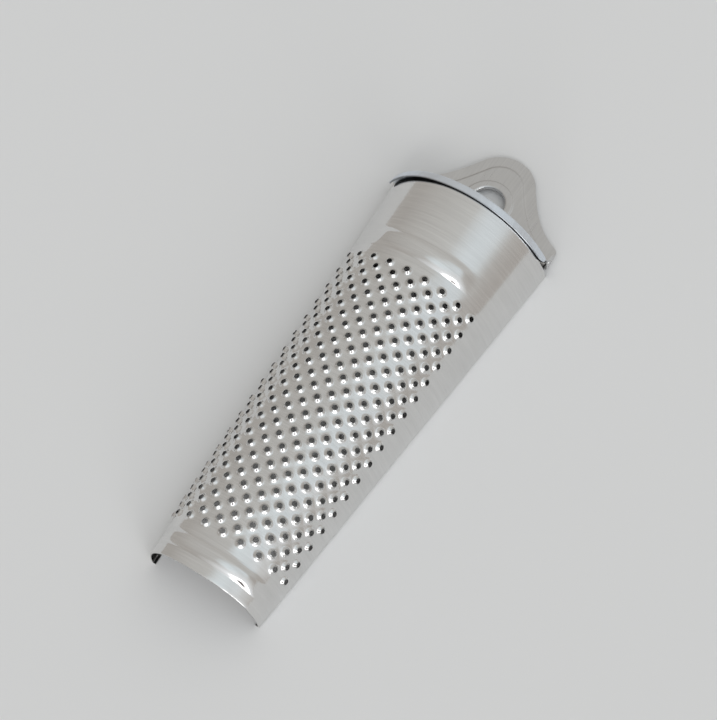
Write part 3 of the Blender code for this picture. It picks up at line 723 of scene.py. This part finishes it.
def side_curve(fine=1):
    """Right side of the hanger: a round top, a hollow Bezier flank and a round shoulder.

    fine is how many times as many points it has.
    """
    turn = np.linspace(math.pi / 2, HANGER_TOP_ANGLE, TOP_POINTS * fine)[:, None]
    centre = (0.0, HANGER_TOP_Y - HANGER_TOP_RADIUS)
    top = centre + HANGER_TOP_RADIUS * np.hstack([np.cos(turn), np.sin(turn)])
    turn = np.linspace(math.pi / 2 - SHOULDER_SLOPE, 0.0, SHOULDER_POINTS * fine)[:, None]
    centre = (SHOULDER[0] - SHOULDER_RADIUS, SHOULDER[1])
    shoulder = centre + SHOULDER_RADIUS * np.hstack([np.cos(turn), np.sin(turn)])
    start, end = top[-1], shoulder[0]
    chord = np.linalg.norm(end - start)
    leave, arrive = HANGER_TOP_ANGLE - math.pi / 2, -SHOULDER_SLOPE
    near = start + FLANK_SHARES[0] * chord * np.array((math.cos(leave), math.sin(leave)))
    far = end - FLANK_SHARES[1] * chord * np.array((math.cos(arrive), math.sin(arrive)))
    t = np.linspace(0.0, 1.0, FLANK_POINTS * fine)[1:-1, None]
    rest = 1 - t
    flank = rest**3 * start + 3 * rest**2 * t * near + 3 * rest * t**2 * far + t**3 * end
    return np.concatenate([top, flank, shoulder])


def plate_side():
    """Right side of the back plate, from the hanger's top past the notch and ear to its foot."""
    inner, leaf = SHOULDER[0] - NOTCH_DEPTH, EAR_OUTER_X - EAR_BEND
    notch = EAR_HEAD_Y + NOTCH_WIDTH
    corner = MOUTH_Y - CORNER_DEPTH
    wide, narrow = (
        ARCH[int(y / MOUTH_Y * (TABLE_Y - 1)), 0, -1] - SHEET - SEAT_GAP
        for y in (corner, PLATE_FOOT_Y)
    )
    corners = (
        (SHOULDER[0], notch),
        (inner, notch),
        (inner, EAR_HEAD_Y),
        (leaf, EAR_HEAD_Y),
        (leaf, EAR_FOOT_Y),
        (inner, EAR_FOOT_Y),
        (inner, EAR_FOOT_Y - NOTCH_WIDTH),
        (wide, corner),
        (narrow, PLATE_FOOT_Y),
    )
    return np.concatenate([side_curve(), corners, [(0.0, PLATE_FOOT_Y)]])


def reach_to(outline, directions):
    """How far each direction runs from the hole's middle before it crosses the closed outline."""
    start = outline - HOLE
    step = np.roll(start, -1, axis=0) - start
    turn_x, turn_y = directions[:, None, 0], directions[:, None, 1]
    cross = turn_x * step[None, :, 1] - turn_y * step[None, :, 0]
    cross = np.where(np.abs(cross) < NEARLY_NONE, NEARLY_NONE, cross)
    run = (start[:, 0] * step[:, 1] - start[:, 1] * step[:, 0])[None] / cross
    share = (start[None, :, 0] * turn_y - start[None, :, 1] * turn_x) / cross
    hit = (run > 0) & (share >= -HAIR) & (share <= 1 + HAIR)
    return np.where(hit, run, np.inf).min(axis=1)


def plate_sheet():
    """The back plate on rings round the hanging hole, as a height field.

    The collar is a low eased step that rolls over into the hole on most of a quarter ellipse. The
    field stands where the hanger's edge is farther off than its inset, with an eased slope at its
    border. Each corner of the outline has a ray to it and one close by on either side.
    """
    side = plate_side()
    outline = np.concatenate([side, (side * (-1, 1))[-2:0:-1]])
    even = np.linspace(-math.pi, math.pi, PLATE_RAYS, endpoint=False)
    exact = np.arctan2(*(outline - HOLE).T[::-1])
    tight = exact[len(side) - 1 - PLATE_CORNERS : len(side) + PLATE_CORNERS]
    beside = (tight + CORNER_RAY_TURN, tight - CORNER_RAY_TURN)
    turns = np.unique(np.round(np.concatenate([even, exact, *beside]), 6))
    turns = turns[(turns >= -math.pi) & (turns < math.pi)]
    directions = np.stack([np.cos(turns), np.sin(turns)], axis=-1)
    reach = reach_to(outline, directions)
    collar = np.linspace(HOLE_RADIUS, COLLAR_RADIUS + COLLAR_APRON, COLLAR_RINGS)
    shares = np.linspace(0.0, 1.0, PLATE_RINGS + 1)[1:]
    radii = np.concatenate([
        np.broadcast_to(collar[:, None], (COLLAR_RINGS, len(turns))),
        collar[-1] + (reach - collar[-1]) * shares[:, None],
    ])
    flat = HOLE + radii[..., None] * directions
    edge = side_curve(fine=2)
    edge = np.concatenate([edge, edge * (-1, 1)])
    away = np.sqrt(((flat[:, :, None] - edge) ** 2).sum(axis=-1)).min(axis=-1)
    field = smooth((away - FIELD_INSET) / FIELD_SLOPE + 0.5)
    field = field * smooth((flat[..., 1] - FIELD_FOOT_Y) / FIELD_SLOPE + 0.5)
    ring = smooth((COLLAR_RADIUS + COLLAR_STEP / 2 - radii) / COLLAR_STEP)
    roll = np.clip(1 - (radii - HOLE_RADIUS) / COLLAR_ROLL, 0.0, 1.0)
    drop = COLLAR_ROLL * (1 - np.sqrt(1 - roll**2 * COLLAR_ROLL_SHARE))
    rise = FIELD_RISE * field + COLLAR_RISE * ring - drop
    outer = np.concatenate([flat + (0.0, RIM_Y), (PLATE_FRONT_Z + rise)[..., None]], axis=-1)
    outer = outer.reshape(-1, 3)
    inner = outer - (0.0, 0.0, SHEET)
    faces = grid_faces(*radii.shape, closed=True)
    return closed_sheet(outer, inner, turned(faces, outer, outer - inner))


def ear_sheet(side):
    """One ear: a leg that leaves the plate's edge, a bend and the upright wall that holds the pin.

    Its upper corners are quarter circles, made by drawing its rows in towards its middle.
    """
    leg, bend_z = EAR_OUTER_X - EAR_BEND, PLATE_BACK_Z + EAR_BEND
    middle = (EAR_FOOT_Y + EAR_HEAD_Y) / 2
    turn = np.linspace(-math.pi / 2, 0.0, EAR_BEND_STEPS)
    wall = np.linspace(bend_z, EAR_TOP_Z, EAR_WALL_STEPS + 1)[1:]
    rows = EAR_FOOT_Y + (EAR_HEAD_Y - EAR_FOOT_Y) * np.linspace(0.0, 1.0, EAR_ROWS)[:, None]
    grids = []
    for radius in (EAR_BEND, EAR_BEND - SHEET):
        upright = np.full(EAR_WALL_STEPS, leg + radius)
        x = np.concatenate([[leg - EAR_LAP], leg + radius * np.cos(turn), upright])
        z = np.concatenate([[bend_z - radius], bend_z + radius * np.sin(turn), wall])
        share = ((z - EAR_TOP_Z) / EAR_ROUND + 1).clip(0, 1)
        pull = EAR_ROUND * (1 - np.sqrt(1 - share**2))
        level = middle + (rows - middle) * (1 - pull / (EAR_HEAD_Y - middle))
        x, z = np.broadcast_to(side * x, level.shape), np.broadcast_to(z, level.shape)
        grids.append(np.stack([x, level + RIM_Y, z], axis=-1))
    faces = grid_faces(*grids[0].shape[:2])
    outer, inner = (grid.reshape(-1, 3) for grid in grids)
    return closed_sheet(outer, inner, turned(faces, outer, outer - inner))


def pin_rod():
    """A round wire along X with softly rounded ends, turned from its half profile."""
    corner = np.linspace(0.0, math.pi / 2, PIN_ROUND_STEPS)
    end_x = PIN_HALF_LENGTH - PIN_ROUND + PIN_ROUND * np.sin(corner)
    end_r = PIN_RADIUS - PIN_ROUND + PIN_ROUND * np.cos(corner)
    x = np.concatenate([-end_x[::-1], end_x])
    radius = np.concatenate([end_r[::-1], end_r])
    turn = np.linspace(0.0, math.tau, PIN_AROUND, endpoint=False)
    middle_y = HINGE[0] + RIM_Y
    y = middle_y + radius[:, None] * np.cos(turn)
    z = HINGE[1] + radius[:, None] * np.sin(turn)
    points = np.stack([np.broadcast_to(x[:, None], y.shape), y, z], axis=-1).reshape(-1, 3)
    low_end, high_end = len(points), len(points) + 1
    points = np.concatenate([points, [(end, middle_y, HINGE[1]) for end in (x[0], x[-1])]])
    around, last = np.arange(PIN_AROUND), (len(x) - 1) * PIN_AROUND
    after = (around + 1) % PIN_AROUND
    low, high = (
        np.stack([a, b, np.full(PIN_AROUND, end), np.full(PIN_AROUND, end)], axis=-1)
        for a, b, end in ((after, around, low_end), (last + around, last + after, high_end))
    )
    faces = np.concatenate([grid_faces(len(x), PIN_AROUND, closed=True), low, high])
    return points, faces[:, ::-1]


def joined(*sheets):
    """Several closed sheets as one mesh."""
    starts = np.cumsum([0] + [len(points) for points, _ in sheets])
    faces = [faces + start for (_, faces), start in zip(sheets, starts)]
    return np.concatenate([points for points, _ in sheets]), np.concatenate(faces)


def make_floor():
    """A pale matt floor, just under the grater."""
    mesh = bpy.data.meshes.new("floor")
    low, high = -FLOOR_REACH, FLOOR_REACH
    corners = [(low, low, 0), (high, low, 0), (high, high, 0), (low, high, 0)]
    mesh.from_pydata(corners, [], [(0, 1, 2, 3)])
    floor = bpy.data.objects.new("floor", mesh)
    floor.location.z = -FLOOR_DROP
    bpy.context.scene.collection.objects.link(floor)
    paper = bpy.data.materials.new("pale floor")
    paper.use_nodes = True
    shader = paper.node_tree.nodes["Principled BSDF"]
    shader.inputs["Base Color"].default_value = FLOOR_COLOUR
    shader.inputs["Roughness"].default_value = FLOOR_ROUGHNESS
    mesh.materials.append(paper)


def make_sky():
    """A sky of soft lobes, of which one is a bright window in front on the right."""
    world = bpy.data.worlds.new("studio")
    world.use_nodes = True
    bpy.context.scene.world = world
    graph = Graph(world.node_tree)
    background = world.node_tree.nodes["Background"]
    direction = graph.node("ShaderNodeTexCoord", output=SKY_DIRECTION)

    def lobe(towards, inner, outer):
        """One up to the inner angle off a direction, falling to nothing at the outer angle.

        It falls evenly with the angle's cosine.
        """
        length = math.sqrt(sum(a * a for a in towards))
        axis = tuple(a / length for a in towards)
        settings = {"operation": "DOT_PRODUCT"}
        values = {0: direction, 1: axis}
        near = graph.node("ShaderNodeVectorMath", settings, values, output=DOT_PRODUCT)
        low, high = math.cos(math.radians(outer)), math.cos(math.radians(inner))
        return ((near - low) / (high - low)).clamp()

    sky = (*SKY_BASE, 1.0)
    for towards, inner, outer, colour in SKY_LOBES:
        sky = blend(graph, lobe(towards, inner, outer), sky, (*colour, 1.0))
    world.node_tree.links.new(sky.link, background.inputs["Color"])
    background.inputs["Strength"].default_value = 1.0


def make_camera():
    """The photograph's camera, whose axes in the scene are right, up and back."""
    data = bpy.data.cameras.new("camera")
    data.lens = CAMERA_LENS
    data.clip_start = CAMERA_CLIP_START
    camera = bpy.data.objects.new("camera", data)
    matrix = np.eye(4)
    axes = (CAMERA_RIGHT, -np.array(CAMERA_DOWN), -np.array(CAMERA_AHEAD), CAMERA_PLACE)
    matrix[:3] = np.stack(axes, axis=-1)
    camera.matrix_world = Matrix(matrix.tolist())
    bpy.context.scene.collection.objects.link(camera)
    bpy.context.scene.camera = camera


def main():
    """Puts the finished pieces in their nodes' places, then the floor, the sky and the camera."""
    sheet = steel(
        "brushed_arch_steel",
        tint=(0.78, 0.775, 0.765),
        roughness=0.13,
        grain_scale=(90.0, 2600.0, 90.0),
        grain_depth=0.000004,
        shade_name="shade",
    )
    plate = steel(
        "hanger_steel",
        tint=(0.67, 0.665, 0.66),
        roughness=0.3,
        grain_scale=(2600.0, 120.0, 120.0),
        grain_depth=0.000003,
    )
    # The lid's blue cast is a painted reflection of a pale bluish surround that its flange mirrors
    lid = steel(
        "lid_steel",
        tint=(0.805, 0.855, 0.92),
        roughness=0.34,
        grain_scale=(160.0, 160.0, 2600.0),
        grain_depth=0.000003,
        shade_name="shade",
    )
    wire = steel(
        "pin_wire_steel",
        tint=(0.72, 0.72, 0.72),
        roughness=0.2,
        grain_scale=(200.0, 4000.0, 4000.0),
        grain_depth=0.000002,
    )
    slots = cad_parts["compartment_floor"].data.materials
    slots.clear()
    slots.append(plate)
    hanger = joined(plate_sheet(), ear_sheet(-1), ear_sheet(1))
    add_piece("grating_shell", sheet, "frame", "grater_body", "brushed_sheet", *grating_sheet())
    add_piece("lid_moon", lid, "lid", "lid", "lid_sheet", *lid_sheet())
    add_piece("hanger_plate", plate, "frame", "back_plate", "hanger_sheet", *hanger)
    add_piece("pin_wire", wire, "frame", "hinge_pin", "pin_wire", *pin_rod())
    make_floor()
    make_sky()
    make_camera()
    bpy.context.scene.view_settings.view_transform = "Standard"


main()
